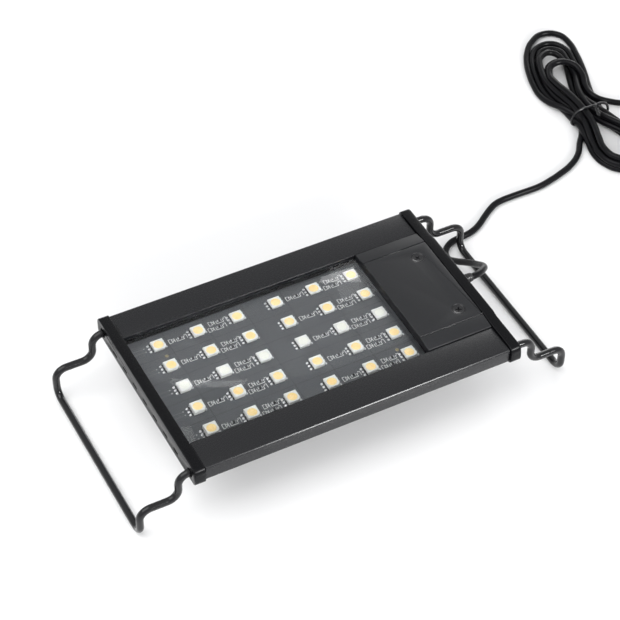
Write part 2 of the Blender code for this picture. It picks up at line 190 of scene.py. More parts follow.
def tidy_mesh(obj: bpy.types.Object, merge: float = 1e-6) -> None:
    """Merges doubles and turns every face outwards.

    Args:
        obj: a closed mesh object.
        merge: distance under which two points become one, in metres.
    """
    activate(obj)
    bpy.ops.object.mode_set(mode="EDIT")
    bpy.ops.mesh.select_all(action="SELECT")
    bpy.ops.mesh.remove_doubles(threshold=merge)
    bpy.ops.mesh.normals_make_consistent(inside=False)
    leave_edit()


def apply_modifiers(obj: bpy.types.Object) -> None:
    """Applies all modifiers of an object in order."""
    activate(obj)
    for name in [modifier.name for modifier in obj.modifiers]:
        bpy.ops.object.modifier_apply(modifier=name)


def soften(obj: bpy.types.Object, width: float, segments: int = 3, angle: float = 28) -> bpy.types.Object:
    """Rounds an object's sharp edges and shades it smooth.

    Args:
        obj: a mesh object.
        width: width of the rounding, in metres.
        segments: facets across the rounding.
        angle: edges sharper than this many degrees are rounded.

    Returns:
        The same object.
    """
    bevel = obj.modifiers.new("edge_rounding", "BEVEL")
    bevel.width = width
    bevel.segments = segments
    bevel.limit_method = "ANGLE"
    bevel.angle_limit = math.radians(angle)
    bevel.use_clamp_overlap = False
    apply_modifiers(obj)
    bpy.ops.object.shade_smooth_by_angle(angle=math.radians(40))
    return obj


def cad_copy(node: str, name: str) -> bpy.types.Object:
    """Makes a merged copy of a CAD node's mesh to work on.

    Args:
        node: the CAD node.
        name: the new object's name.

    Returns:
        The copy, with flat regions made single faces.
    """
    source = bpy.data.objects[node]
    made = bpy.data.objects.new(name, source.data.copy())
    made.data.name = name
    made.data.materials.clear()
    bpy.context.scene.collection.objects.link(made)
    activate(made)
    bpy.ops.mesh.customdata_custom_splitnormals_clear()
    bpy.ops.object.mode_set(mode="EDIT")
    bpy.ops.mesh.select_all(action="SELECT")
    bpy.ops.mesh.remove_doubles(threshold=5e-6)
    bpy.ops.mesh.dissolve_limited(angle_limit=math.radians(0.5))
    leave_edit()
    return made


def turned(name: str, profile: Iterable[tuple[float, float]], start: Point, axis: Point,
           steps: int = 28) -> bpy.types.Object:
    """Turns a profile round an axis, as on a lathe.

    Args:
        name: the new object's name.
        profile: (distance along the axis, radius) pairs in metres, from one end to the other.
        start: the point on the axis that distances are measured from.
        axis: the axis's direction.
        steps: facets round the axis.

    Returns:
        The closed, outward-facing shape.
    """
    along = Vector(axis).normalized()
    across = along.orthogonal().normalized()
    origin = Vector(start)
    points = [origin + along * length + across * radius for length, radius in profile]
    mesh = bpy.data.meshes.new(name)
    mesh.from_pydata(points, [(i, i + 1) for i in range(len(points) - 1)], [])
    made = bpy.data.objects.new(name, mesh)
    bpy.context.scene.collection.objects.link(made)
    activate(made)
    bpy.ops.object.mode_set(mode="EDIT")
    bpy.ops.mesh.select_all(action="SELECT")
    bpy.ops.mesh.spin(steps=steps, angle=math.tau, center=origin, axis=along)
    leave_edit()
    tidy_mesh(made)
    bpy.ops.object.shade_smooth_by_angle(angle=math.radians(40))
    return made


def cut(obj: bpy.types.Object, *tools: bpy.types.Object) -> None:
    """Cuts closed tool shapes from an object and removes the tools.

    Args:
        obj: a closed mesh object.
        tools: closed mesh objects.
    """
    for tool in tools:
        modifier = obj.modifiers.new("cut", "BOOLEAN")
        modifier.operation = "DIFFERENCE"
        modifier.solver = "EXACT"
        modifier.object = tool
        apply_modifiers(obj)
        bpy.data.objects.remove(tool)


def joined(name: str, parts: Sequence[bpy.types.Object]) -> bpy.types.Object:
    """Joins objects into one.

    Args:
        name: the joined object's name.
        parts: mesh objects, each already dressed.

    Returns:
        The joined object.
    """
    deselect()
    for part in parts:
        part.select_set(True)
    bpy.context.view_layer.objects.active = parts[0]
    bpy.ops.object.join()
    made = bpy.context.active_object
    made.name = made.data.name = name
    return made


def copied(pattern: bpy.types.Object, name: str, shift: Vector) -> bpy.types.Object:
    """Copies a pattern object, moving its mesh.

    Args:
        pattern: the object to copy.
        name: the copy's name.
        shift: how far the copy's mesh moves.

    Returns:
        The copy, with its own mesh.
    """
    made = pattern.copy()
    made.data = pattern.data.copy()
    made.name = made.data.name = name
    made.data.transform(Matrix.Translation(shift))
    bpy.context.scene.collection.objects.link(made)
    return made


def tube(name: str, points: Sequence[Point], radius: float, closed: bool = False,
         detail: int = 4, steps: int = 6) -> bpy.types.Object:
    """Lays a smooth round tube through points.

    Args:
        name: the new object's name.
        points: the points its middle passes through, in metres.
        radius: the tube's radius.
        closed: whether its ends meet.
        detail: the tube's roundness.
        steps: facets from point to point.

    Returns:
        A curve object of one spline.
    """
    curve = bpy.data.curves.new(name, "CURVE")
    curve.dimensions = "3D"
    curve.resolution_u = steps
    curve.bevel_depth = radius
    curve.bevel_resolution = detail
    curve.use_fill_caps = not closed
    spline = curve.splines.new("BEZIER")
    spline.bezier_points.add(len(points) - 1)
    spline.use_cyclic_u = closed
    for knot, point in zip(spline.bezier_points, points):
        knot.co = point
        knot.handle_left_type = knot.handle_right_type = "AUTO"
    made = bpy.data.objects.new(name, curve)
    bpy.context.scene.collection.objects.link(made)
    return made


def to_mesh(obj: bpy.types.Object) -> bpy.types.Object:
    """Makes a curve object a mesh with smooth faces.

    Args:
        obj: a curve object.

    Returns:
        The same object as a mesh.
    """
    activate(obj)
    bpy.ops.object.convert(target="MESH")
    made = bpy.context.active_object
    tidy_mesh(made)
    bpy.ops.object.shade_smooth_by_angle(angle=math.radians(50))
    return made


def dress(obj: bpy.types.Object, finish: "Finish") -> bpy.types.Object:
    """Gives an object one finish all over.

    Args:
        obj: a mesh or curve object.
        finish: its finish.

    Returns:
        The same object.
    """
    obj.data.materials.clear()
    obj.data.materials.append(finish.material())
    return obj


def enter(obj: bpy.types.Object, body: str, slot: str, *nodes: str) -> bpy.types.Object:
    """Attaches a finished piece to its body, hides the CAD nodes that it stands for, and logs it.

    Args:
        obj: the piece.
        body: the CAD body that it rides on.
        slot: the record's material slot.
        nodes: the CAD nodes that it stands for.

    Returns:
        The same object.
    """
    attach(obj, body)
    if nodes:
        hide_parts(*nodes)
    count = len(obj.data.polygons) if obj.type == "MESH" else len(obj.data.splines)
    LOG.info("%s rides on %s in %s (%d)", obj.name, body, slot, count)
    return obj


# ---------------------------------------------------------------- shader groups


def add_node(tree: bpy.types.NodeTree, kind: str, values: dict[str | int, object] | None = None,
             **settings: object) -> bpy.types.Node:
    """Adds a node with its settings and inputs.

    Args:
        tree: the tree that the node goes in.
        kind: the node's type.
        values: by input, a value to set or a socket to link from.
        settings: the node's own settings, set before its inputs.

    Returns:
        The node.
    """
    made = tree.nodes.new(kind)
    for name, setting in settings.items():
        setattr(made, name, setting)
    for name, value in (values or {}).items():
        if isinstance(value, bpy.types.NodeSocket):
            tree.links.new(value, made.inputs[name])
        else:
            made.inputs[name].default_value = value
    return made


def new_group(name: str, numbers: dict[str, float], vectors: Sequence[str],
              results: Sequence[str]) -> bpy.types.NodeTree:
    """Makes a shader group that has only its sockets.

    Args:
        name: the group's name.
        numbers: number inputs with their defaults.
        vectors: names of the vector inputs.
        results: names of the number outputs.

    Returns:
        The group.
    """
    tree = bpy.data.node_groups.new(name, "ShaderNodeTree")
    for title, value in numbers.items():
        socket = tree.interface.new_socket(name=title, in_out="INPUT", socket_type="NodeSocketFloat")
        socket.default_value = value
    for title in vectors:
        tree.interface.new_socket(name=title, in_out="INPUT", socket_type="NodeSocketVector")
    for title in results:
        tree.interface.new_socket(name=title, in_out="OUTPUT", socket_type="NodeSocketFloat")
    return tree


def remapped(tree: bpy.types.NodeTree, value: bpy.types.NodeSocket, low: float,
             high: float) -> bpy.types.NodeSocket:
    """Stretches a value so that low becomes 0 and high becomes 1."""
    spread = {"Value": value, "From Min": low, "From Max": high}
    return add_node(tree, "ShaderNodeMapRange", spread).outputs["Result"]


def product(tree: bpy.types.NodeTree, first: bpy.types.NodeSocket, second: bpy.types.NodeSocket,
            clamp: bool = False) -> bpy.types.NodeSocket:
    """Multiplies two numbers, and clamps the result to 0 to 1 where asked."""
    values = {0: first, 1: second}
    return add_node(tree, "ShaderNodeMath", values, operation="MULTIPLY", use_clamp=clamp).outputs[0]


def grain_group() -> bpy.types.NodeTree:
    """The fine grain and slow cloudiness of a surface.

    Returns:
        The group "surface_grain": Scale, Cloud Scale and Stretch in; Grain, Cloud and Height out.
    """
    found = bpy.data.node_groups.get("surface_grain")
    if found:
        return found
    tree = new_group("surface_grain", {"Scale": 2000, "Cloud Scale": 40}, ("Stretch",),
                     ("Grain", "Cloud", "Height"))
    given = tree.nodes.new("NodeGroupInput").outputs
    place = tree.nodes.new("ShaderNodeTexCoord").outputs["Object"]
    drawn = add_node(tree, "ShaderNodeVectorMath", {0: place, 1: given["Stretch"]},
                     operation="MULTIPLY").outputs[0]
    fine = add_node(tree, "ShaderNodeTexNoise", {
        "Vector": drawn, "Scale": given["Scale"], "Detail": 3, "Roughness": 0.6}).outputs["Fac"]
    cloud = add_node(tree, "ShaderNodeTexNoise", {
        "Vector": place, "Scale": given["Cloud Scale"], "Detail": 4, "Distortion": 0.4}).outputs["Fac"]
    cells = add_node(tree, "ShaderNodeTexVoronoi", {
        "Vector": drawn, "Scale": given["Scale"]}).outputs["Distance"]
    height = add_node(tree, "ShaderNodeMix", {"Factor": 0.35, "A": fine, "B": cells}).outputs["Result"]
    add_node(tree, "NodeGroupOutput", {"Grain": fine, "Cloud": cloud, "Height": height})
    return tree


def wear_group() -> bpy.types.NodeTree:
    """Rubbed edges and settled dust.

    Returns:
        The group "edge_wear": Wear and Dust in; Edge, Settled and Rim out, all masks.
    """
    found = bpy.data.node_groups.get("edge_wear")
    if found:
        return found
    tree = new_group("edge_wear", {"Wear": 0.5, "Dust": 0.1}, (), ("Edge", "Settled", "Rim"))
    given = tree.nodes.new("NodeGroupInput").outputs
    normal = tree.nodes.new("ShaderNodeNewGeometry").outputs["Normal"]
    place = tree.nodes.new("ShaderNodeTexCoord").outputs["Object"]
    rounded = add_node(tree, "ShaderNodeBevel", {"Radius": 0.6 * MM}, samples=4).outputs["Normal"]
    turn = add_node(tree, "ShaderNodeVectorMath", {0: rounded, 1: normal},
                    operation="DOT_PRODUCT").outputs["Value"]
    rim = remapped(tree, turn, 0.99, 0.86)
    patches = add_node(tree, "ShaderNodeTexNoise", {"Vector": place, "Scale": 180, "Detail": 5})
    rubbed = product(tree, rim, remapped(tree, patches.outputs["Fac"], 0.42, 0.68))
    specks = add_node(tree, "ShaderNodeTexNoise", {"Vector": place, "Scale": 5200, "Detail": 2})
    upward = add_node(tree, "ShaderNodeSeparateXYZ", {0: normal}).outputs["Z"]
    lying = product(tree, upward, remapped(tree, specks.outputs["Fac"], 0.60, 0.74), clamp=True)
    add_node(tree, "NodeGroupOutput", {
        "Edge": product(tree, rubbed, given["Wear"]), "Settled": product(tree, lying, given["Dust"]),
        "Rim": rim})
    return tree


# ---------------------------------------------------------------- finishes


@dataclass(frozen=True)
class Finish:
    """A solid finish: clouded base colour, fine grain in roughness and relief, rubbed edges and dust.

    Lengths are in metres, colours linear, and grain is the number of grains to a metre.
    """

    name: str
    colour: Colour
    cloud_colour: Colour
    roughness: tuple[float, float]
    grain: float = 3000
    clouds: float = 45
    relief: float = 0.15
    relief_depth: float = 0.00002
    stretch: Point = (1.0, 1.0, 1.0)
    metallic: float = 0.0
    specular: float = 0.5
    coat: float = 0.0
    coat_roughness: float = 0.08
    rim_roughness: float = 0.2
    wear: float = 0.35
    wear_colour: Colour = (0.16, 0.16, 0.17)
    dust: float = 0.025

    def material(self) -> bpy.types.Material:
        """Builds the material, or returns it if it is already there.

        Returns:
            The material, named for the finish.
        """
        found = bpy.data.materials.get(self.name)
        if found:
            return found
        made = bpy.data.materials.new(self.name)
        made.use_nodes = True
        made.diffuse_color = (*self.colour, 1)
        tree = made.node_tree
        shader = tree.nodes["Principled BSDF"]
        for name, value in (("Metallic", self.metallic), ("Specular IOR Level", self.specular),
                            ("Coat Weight", self.coat), ("Coat Roughness", self.coat_roughness)):
            shader.inputs[name].default_value = value
        grain = add_node(tree, "ShaderNodeGroup", {
            "Scale": self.grain, "Cloud Scale": self.clouds, "Stretch": self.stretch},
            node_tree=grain_group()).outputs
        wear = add_node(tree, "ShaderNodeGroup", {"Wear": self.wear, "Dust": self.dust},
                        node_tree=wear_group()).outputs
        worn = self.mix(tree, wear["Edge"], self.base_colour(tree, grain), self.wear_colour)
        tree.links.new(self.mix(tree, wear["Settled"], worn, DUST_COLOUR), shader.inputs["Base Color"])
        spread = add_node(tree, "ShaderNodeMapRange", {
            "Value": grain["Grain"], "From Min": 0.3, "From Max": 0.7, "To Min": self.roughness[0],
            "To Max": self.roughness[1]}).outputs["Result"]
        polish = add_node(tree, "ShaderNodeMix", {
            "Factor": wear["Rim"], "A": spread, "B": self.rim_roughness}).outputs["Result"]
        tree.links.new(polish, shader.inputs["Roughness"])
        bump = add_node(tree, "ShaderNodeBump", {
            "Strength": self.relief, "Distance": self.relief_depth, "Height": grain["Height"]})
        tree.links.new(bump.outputs["Normal"], shader.inputs["Normal"])
        self.extra(shader)
        return made

    @staticmethod
    def mix(tree: bpy.types.NodeTree, mask: bpy.types.NodeSocket, under: Colour | bpy.types.NodeSocket,
            over: Colour | bpy.types.NodeSocket) -> bpy.types.NodeSocket:
        """Mixes two colours by a mask.

        Args:
            tree: the material's tree.
            mask: the mask's socket.
            under: a socket or a colour, where the mask is 0.
            over: a socket or a colour, where the mask is 1.

        Returns:
            The mixed colour's socket.
        """
        first, second = ((*value, 1) if isinstance(value, tuple) else value for value in (under, over))
        values = {"Factor": mask, 6: first, 7: second}
        return add_node(tree, "ShaderNodeMix", values, data_type="RGBA").outputs[2]

    def base_colour(self, tree: bpy.types.NodeTree, grain: bpy.types.NodeOutputs) -> bpy.types.NodeSocket:
        """The colour under the wear: two tones clouded together.

        Args:
            tree: the material's tree.
            grain: the grain group's results.

        Returns:
            The colour's socket.
        """
        return self.mix(tree, grain["Cloud"], self.colour, self.cloud_colour)

    def extra(self, shader: bpy.types.ShaderNode) -> None:
        """Adds what only some finishes have; nothing here."""


@dataclass(frozen=True)
class BoardFinish(Finish):
    """Solder mask over copper: broad pours with thin gaps between them, aligned to the LED pitch."""

    pitch: tuple[float, float] = LED_PITCH
    corner: tuple[float, float] = (16.2 * MM, 5.8 * MM)
    gap: float = 0.18 * MM
    gap_colour: Colour = (0.05, 0.052, 0.055)

    def base_colour(self, tree: bpy.types.NodeTree, grain: bpy.types.NodeOutputs) -> bpy.types.NodeSocket:
        """Copper pours with gaps, under clouded mask.

        Args:
            tree: the material's tree.
            grain: the grain group's results.

        Returns:
            The colour's socket.
        """
        under = super().base_colour(tree, grain)
        place = tree.nodes.new("ShaderNodeTexCoord").outputs["Object"]
        centred = add_node(tree, "ShaderNodeMapping", {"Vector": place, "Location": (*self.corner, 0)})
        pours = add_node(tree, "ShaderNodeTexBrick", {
            "Vector": centred.outputs["Vector"], "Scale": 1, "Brick Width": self.pitch[0],
            "Row Height": self.pitch[1], "Mortar Size": self.gap, "Mortar Smooth": 0.3}, offset=0.0)
        return self.mix(tree, pours.outputs["Fac"], under, self.gap_colour)


@dataclass(frozen=True)
class ClearFinish:
    """Clear acrylic whose polish varies a little."""

    name: str = "clear_sheet_acrylic"
    ior: float = 1.33
    roughness: tuple[float, float] = (0.02, 0.03)

    def material(self) -> bpy.types.Material:
        """Builds the material, or returns it if it is already there.

        Returns:
            The material.
        """
        found = bpy.data.materials.get(self.name)
        if found:
            return found
        made = bpy.data.materials.new(self.name)
        made.use_nodes = True
        tree = made.node_tree
        shader = tree.nodes["Principled BSDF"]
        shader.inputs["Base Color"].default_value = (0.96, 0.97, 0.97, 1)
        shader.inputs["Transmission Weight"].default_value = 1.0
        shader.inputs["IOR"].default_value = self.ior
        grain = add_node(tree, "ShaderNodeGroup", {
            "Scale": 900.0, "Cloud Scale": 60.0, "Stretch": (1.0, 1.0, 1.0)}, node_tree=grain_group())
        spread = add_node(tree, "ShaderNodeMapRange", {
            "Value": grain.outputs["Grain"], "To Min": self.roughness[0], "To Max": self.roughness[1]})
        tree.links.new(spread.outputs["Result"], shader.inputs["Roughness"])
        return made


@dataclass(frozen=True)
class GlowFinish(Finish):
    """Phosphor gel: grainy, with a faint painted glow of its own colour that brightens the unlit phosphor."""

    painted_glow: float = 0.35

    def extra(self, shader: bpy.types.ShaderNode) -> None:
        """Adds the painted glow."""
        shader.inputs["Emission Color"].default_value = (*self.colour, 1)
        shader.inputs["Emission Strength"].default_value = self.painted_glow


ANODISED = Finish("anodised_black", (0.0060, 0.0063, 0.0074), (0.0070, 0.0073, 0.0085), (0.22, 0.30),
                  grain=9000, clouds=90, relief=0.12, relief_depth=0.00001, specular=0.38, wear=0.4,
                  stretch=(0.12, 1.0, 1.0), wear_colour=(0.20, 0.20, 0.21))
CAP_PLASTIC = Finish("moulded_black_plastic", (0.0030, 0.0031, 0.0037), (0.0036, 0.0037, 0.0044),
                     (0.22, 0.30), specular=0.12, clouds=90, grain=5200, relief=0.2, wear=0.25)
LID_PAINT = Finish("satin_lid_paint", (0.0085, 0.0090, 0.0105), (0.0100, 0.0105, 0.0120), (0.40, 0.50),
                   grain=3600, clouds=80, relief=0.3, specular=0.34, wear=0.3)
BOARD_MASK = BoardFinish("slate_solder_mask", (0.078, 0.083, 0.090), (0.088, 0.093, 0.100), (0.30, 0.42),
                         grain=2600, relief=0.08, wear=0.0, dust=0.02)
DRIVER_MASK = Finish("green_solder_mask", (0.02, 0.10, 0.045), (0.03, 0.13, 0.06), (0.25, 0.4), wear=0.0)
PACKAGE = Finish("led_package_white", (0.90, 0.90, 0.87), (0.93, 0.93, 0.91), (0.30, 0.45), grain=6000,
                 relief=0.1, wear=0.0, dust=0.0)
# The gels' emission is a painted glow: the LEDs are unlit, and it only brightens the phosphor.
WARM_GEL = GlowFinish("warm_phosphor", (0.92, 0.62, 0.18), (0.99, 0.86, 0.55), (0.22, 0.42), grain=9000,
                      clouds=420, relief=0.3, wear=0.0, dust=0.0, painted_glow=0.2)
COOL_GEL = GlowFinish("cool_phosphor", (0.86, 0.86, 0.78), (0.93, 0.93, 0.87), (0.22, 0.42), grain=9000,
                      relief=0.3, wear=0.0, dust=0.0, painted_glow=0.12)
SOLDER = Finish("bright_solder", (0.86, 0.87, 0.88), (0.94, 0.94, 0.95), (0.16, 0.34), metallic=0.6,
                relief=0.3, wear=0.0, dust=0.0)
SILKSCREEN = Finish("white_silkscreen", (0.72, 0.73, 0.72), (0.80, 0.80, 0.79), (0.5, 0.7), wear=0.0,
                    dust=0.0)
TRACE = Finish("covered_trace", (0.13, 0.135, 0.14), (0.15, 0.155, 0.16), (0.3, 0.45), wear=0.0, dust=0.0)
CHIP_BODY = Finish("chip_resistor_glaze", (0.012, 0.012, 0.013), (0.02, 0.02, 0.021), (0.2, 0.4), wear=0.1)
GOLD = Finish("gold_pad", (0.42, 0.35, 0.20), (0.50, 0.42, 0.26), (0.3, 0.45), metallic=0.5, wear=0.0,
              dust=0.0)
SCREW_BLACK = Finish("black_oxide_screw", (0.005, 0.005, 0.006), (0.008, 0.008, 0.009), (0.24, 0.36),
                     grain=7000, wear=0.3, wear_colour=(0.10, 0.10, 0.11))
WIRE_PAINT = Finish("gloss_wire_paint", (0.0035, 0.0035, 0.0042), (0.0045, 0.0045, 0.0052), (0.10, 0.16),
                    grain=2600, specular=0.32, relief=0.06, relief_depth=0.00001, coat=0.25,
                    coat_roughness=0.06, wear=0.0, dust=0.01)
SHEATH = Finish("cord_sheath_black", (0.0032, 0.0032, 0.0040), (0.0040, 0.0040, 0.0048), (0.24, 0.32),
                grain=4200, specular=0.13, relief=0.2, wear=0.0, dust=0.015)
RELIEF_RUBBER = Finish("relief_rubber", (0.010, 0.010, 0.011), (0.014, 0.014, 0.015), (0.45, 0.62),
                       grain=5200, relief=0.3, wear=0.1)
NICKEL = Finish("bright_nickel", (0.62, 0.60, 0.57), (0.70, 0.68, 0.65), (0.14, 0.28), metallic=1.0,
                relief=0.05, wear=0.2, wear_colour=(0.5, 0.42, 0.3), dust=0.0)
RED_WIRE = Finish("red_wire_sleeve", (0.42, 0.015, 0.012), (0.48, 0.02, 0.016), (0.3, 0.45), wear=0.0)
FERRITE = Finish("grey_ferrite", (0.03, 0.03, 0.032), (0.045, 0.045, 0.048), (0.5, 0.7), wear=0.3)
FLOOR = Finish("pale_floor", (0.86, 0.86, 0.86), (0.87, 0.87, 0.87), (0.16, 0.22), grain=30, clouds=1,
               relief=0.0, specular=0.35, wear=0.0, dust=0.0)
CLEAR = ClearFinish()


# ---------------------------------------------------------------- studio


@dataclass(frozen=True)
class Studio:
    """The camera, the lights and the pale floor."""

    place: Point = (-0.2622, -0.4812, 0.60205)
    azimuth: float = 61.409
    elevation: float = 45.622
    roll: float = 1.192
    lens: float = 119.91
    shift: tuple[float, float] = (-0.0035, -0.0025)
    floor_size: float = 6.0
    floor_z: float = -0.03 * MM
    sky: float = 0.74
    lights: tuple[tuple[str, Point, tuple[float, float], float], ...] = (
        ("key_light", (-0.75, 0.10, 1.35), (1.3, 1.3), 13.0),
        ("rim_light", (0.9, 1.0, 0.35), (0.5, 0.5), 2.5),
        ("low_fill", (-0.10, -1.25, 0.28), (0.9, 0.9), 30.0),
        ("edge_strip", (0.52, -1.14, 0.87), (0.62, 0.24), 24.0),
    )
    highlight_only: tuple[str, ...] = ("edge_strip",)
    unmirrored: tuple[str, ...] = ("low_fill",)

    def build(self) -> None:
        """Builds the camera, lights, world and floor."""
        self.camera()
        self.lamps()
        self.floor()

    def camera(self) -> None:
        """Places the camera by its viewing angles and makes it the scene's."""
        a, e, r = (math.radians(angle) for angle in (self.azimuth, self.elevation, self.roll))
        ahead = Vector((math.cos(a) * math.cos(e), math.sin(a) * math.cos(e), -math.sin(e)))
        level = Vector((math.sin(a), -math.cos(a), 0))
        over = level.cross(ahead)
        right = math.cos(r) * level + math.sin(r) * over
        up = math.cos(r) * over - math.sin(r) * level
        deselect()
        bpy.ops.object.camera_add()
        camera = bpy.context.active_object
        camera.name = "camera"
        turn = Matrix((right, up, -ahead)).transposed().to_4x4()
        camera.matrix_world = Matrix.Translation(self.place) @ turn
        camera.data.sensor_width = 36
        camera.data.lens = self.lens
        camera.data.shift_x, camera.data.shift_y = self.shift
        camera.data.clip_start, camera.data.clip_end = 0.01, 50
        bpy.context.scene.camera = camera

    def lamps(self) -> None:
        """Adds the soft boxes, each facing the lamp, and an even pale sky."""
        for name, place, size, power in self.lights:
            deselect()
            bpy.ops.object.light_add(type="AREA", location=place)
            lamp = bpy.context.active_object
            lamp.name = name
            lamp.data.shape = "RECTANGLE"
            lamp.data.size, lamp.data.size_y = size
            lamp.data.energy = power
            lamp.rotation_euler = (-Vector(place)).to_track_quat("-Z", "Y").to_euler()
            if name in self.highlight_only:
                lamp.visible_diffuse = lamp.visible_transmission = False
            if name in self.unmirrored:
                lamp.visible_glossy = lamp.visible_transmission = False
        world = bpy.data.worlds.new("studio_sky")
        world.use_nodes = True
        backdrop = world.node_tree.nodes["Background"]
        backdrop.inputs["Color"].default_value = (0.98, 0.985, 1.0, 1)
        backdrop.inputs["Strength"].default_value = self.sky
        bpy.context.scene.world = world
        bpy.context.scene.view_settings.view_transform = "Standard"

    def floor(self) -> None:
        """Adds the floor just under the lowest point."""
        deselect()
        bpy.ops.mesh.primitive_plane_add(size=self.floor_size, location=(0, 0, self.floor_z))
        ground = settle(bpy.context.active_object)
        ground.name = ground.data.name = "floor"
        dress(ground, FLOOR)


# ---------------------------------------------------------------- supply cord

# The lead's middle line from the relief sleeve to the hank, in millimetres.
LEAD_MM: tuple[Point, ...] = (
    (71.5, 1.5, 25.0), (74.0, 1.6, 24.9), (76.8, 2.5, 24.3), (80.0, 4.7, 22.7), (83.3, 8.6, 19.7),
    (85.0, 15.5, 14.2), (84.4, 22.8, 9.2), (83.0, 29.5, 4.8), (82.8, 34.6, 2.0), (84.6, 39.3, 1.4),
    (88.8, 42.6, 1.4), (93.5, 43.6, 1.4), (98.0, 44.0, 1.4), (102.2, 45.2, 1.4), (106.1, 47.3, 1.4),
    (110.4, 50.3, 1.4), (114.6, 53.0, 1.4), (118.3, 54.8, 1.4), (121.8, 55.5, 1.4), (126.3, 55.7, 1.4),
    (131.3, 55.7, 1.4), (136.3, 55.6, 1.4), (141.6, 55.8, 1.4), (147.4, 56.9, 1.4),
)
# The middle line of the hank's turns. A separate program pushed read-off outlines apart to make these points,
# so that the strands lie on and beside each other; nothing in this script works them out.
HANK_MM: tuple[Point, ...] = (
    (153.3, 58.5, 1.4), (160.8, 61.3, 1.4), (167.4, 65.7, 1.4), (172.4, 71.9, 1.4), (177.4, 78.1, 1.5),
    (180.0, 85.2, 3.0), (177.5, 92.7, 3.7), (174.7, 100.0, 2.4), (174.1, 107.8, 1.4), (175.5, 115.7, 1.4),
    (177.9, 123.2, 1.5), (181.2, 130.5, 1.4), (185.6, 137.1, 1.4), (191.5, 142.5, 1.5), (198.9, 145.3, 1.4),
    (205.5, 141.5, 1.5), (206.8, 133.8, 1.4), (205.3, 126.0, 1.4), (203.1, 118.3, 1.5), (200.5, 110.8, 1.4),
    (197.5, 103.4, 1.4), (194.9, 95.8, 1.6), (193.2, 88.1, 2.0), (193.1, 80.1, 2.1), (194.6, 72.3, 1.7),
    (196.3, 64.5, 1.4), (196.4, 56.6, 1.4), (192.8, 49.5, 1.4), (185.9, 46.0, 1.4), (178.7, 48.9, 1.5),
    (174.6, 55.7, 1.4), (174.1, 63.6, 1.4), (175.8, 71.3, 2.4), (177.1, 79.1, 3.6), (178.0, 86.7, 1.8),
    (178.2, 94.6, 1.4), (176.8, 102.5, 1.5), (177.1, 110.4, 1.4), (179.1, 118.1, 1.4), (181.7, 125.7, 1.4),
    (185.5, 132.7, 1.4), (191.7, 137.7, 1.4), (199.2, 137.1, 1.4), (202.6, 130.1, 1.4), (201.4, 122.2, 1.4),
    (199.0, 114.6, 1.4), (196.2, 107.2, 1.4), (193.4, 99.7, 1.4), (191.0, 92.1, 1.5), (190.0, 84.2, 2.0),
    (190.8, 76.3, 1.8), (192.8, 68.6, 1.4), (193.8, 60.7, 1.4), (191.7, 53.1, 1.5), (185.3, 49.2, 1.4),
    (178.7, 53.1, 1.5), (177.1, 60.8, 1.4), (179.3, 68.4, 1.4), (182.1, 75.9, 1.7), (183.1, 83.7, 2.1),
    (181.0, 91.4, 2.9), (179.0, 99.0, 3.1), (179.4, 106.9, 2.2), (181.0, 114.7, 1.5), (183.4, 122.3, 1.4),
    (186.7, 129.5, 1.4), (192.5, 134.6, 1.4), (199.1, 131.4, 1.4), (198.9, 123.6, 1.5), (196.8, 115.9, 1.4),
    (193.8, 108.5, 1.4), (191.0, 101.1, 2.1), (189.9, 93.3, 3.5), (190.7, 85.5, 4.6), (192.5, 77.7, 4.7),
    (194.5, 70.0, 4.2), (196.0, 62.2, 4.0), (195.4, 54.3, 4.2), (190.6, 48.2, 4.2), (182.9, 46.8, 4.1),
    (176.6, 51.4, 4.2), (174.6, 59.0, 4.1), (175.9, 66.8, 4.2), (178.1, 74.4, 5.0), (179.9, 82.2, 5.6),
    (180.5, 90.1, 5.7), (180.0, 98.1, 5.5), (179.7, 106.0, 5.0), (180.5, 113.9, 4.3), (183.0, 121.5, 4.1),
    (187.2, 128.2, 4.0), (194.3, 129.4, 3.2), (196.2, 122.2, 2.4), (193.5, 114.7, 2.3), (190.4, 107.3, 2.2),
    (188.0, 99.7, 1.9), (186.6, 91.9, 1.9), (186.6, 84.0, 2.5), (188.6, 76.3, 3.3), (191.6, 68.9, 3.9),
    (193.4, 61.2, 4.2), (191.9, 53.5, 4.2), (185.6, 49.5, 4.2), (178.9, 53.3, 4.2), (177.5, 61.0, 4.1),
    (179.4, 68.7, 4.1), (181.4, 76.5, 4.4), (182.6, 84.3, 4.6), (182.7, 92.3, 4.3), (181.8, 100.2, 3.5),
    (182.0, 108.1, 3.3), (183.6, 115.9, 3.4), (188.3, 122.0, 3.6), (195.2, 119.7, 4.6), (195.0, 112.0, 3.9),
    (191.7, 104.8, 4.4), (188.7, 97.4, 4.9), (187.5, 89.6, 4.9), (188.4, 81.7, 5.2), (190.9, 74.1, 5.9),
    (193.7, 66.7, 6.5), (194.6, 58.8, 6.7), (192.1, 51.4, 6.7), (185.2, 48.1, 6.5), (178.4, 51.7, 6.5),
    (176.3, 59.1, 6.7), (178.3, 66.8, 6.9), (180.8, 74.4, 7.0), (182.1, 82.2, 7.3), (182.1, 90.2, 7.9),
    (181.6, 98.1, 8.0), (181.4, 106.1, 7.0), (182.7, 113.8, 6.1), (188.2, 118.9, 6.4), (195.1, 115.9, 6.7),
    (196.6, 108.4, 5.4), (194.0, 101.0, 4.2), (194.0, 93.4, 4.0), (199.9, 88.5, 2.4), (206.1, 83.5, 2.4),
    (210.6, 77.0, 2.4), (211.5, 69.5, 4.5),
)


